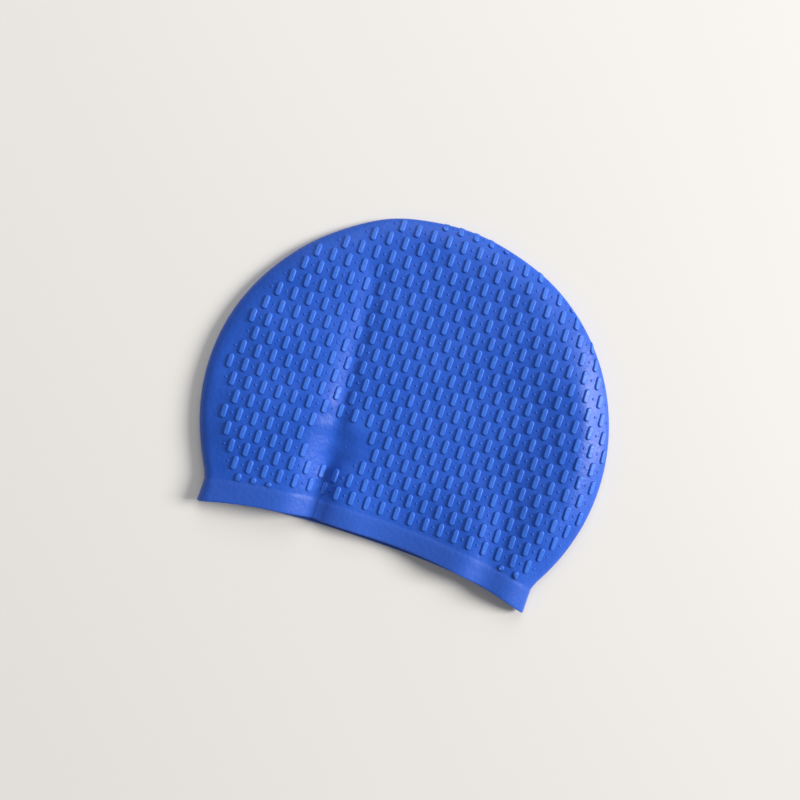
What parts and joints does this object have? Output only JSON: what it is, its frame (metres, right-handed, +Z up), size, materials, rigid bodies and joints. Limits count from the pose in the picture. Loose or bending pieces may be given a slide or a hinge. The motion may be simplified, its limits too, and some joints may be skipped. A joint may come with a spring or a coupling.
{
  "type": "swim cap",
  "caption": "Silicone swim cap lying flat, moulded in one piece: raised ovals in a brick pattern, a smooth oval pad and a plain thicker band round the open rim.",
  "frame": {"origin": "middle of the footprint, on the table that the cap lies on", "axes": "+X along the rim from one corner to the other, to the wearer's right as seen from above, +Y from the rim to the crown, +Z up, square to the two layers"},
  "size_m": [0.23, 0.1922, 0.0151],
  "materials": {
    "silicone": "satin, moulded"
  },
  "bodies": {
    "root": {"cap": "silicone"}
  },
  "joints": []
}
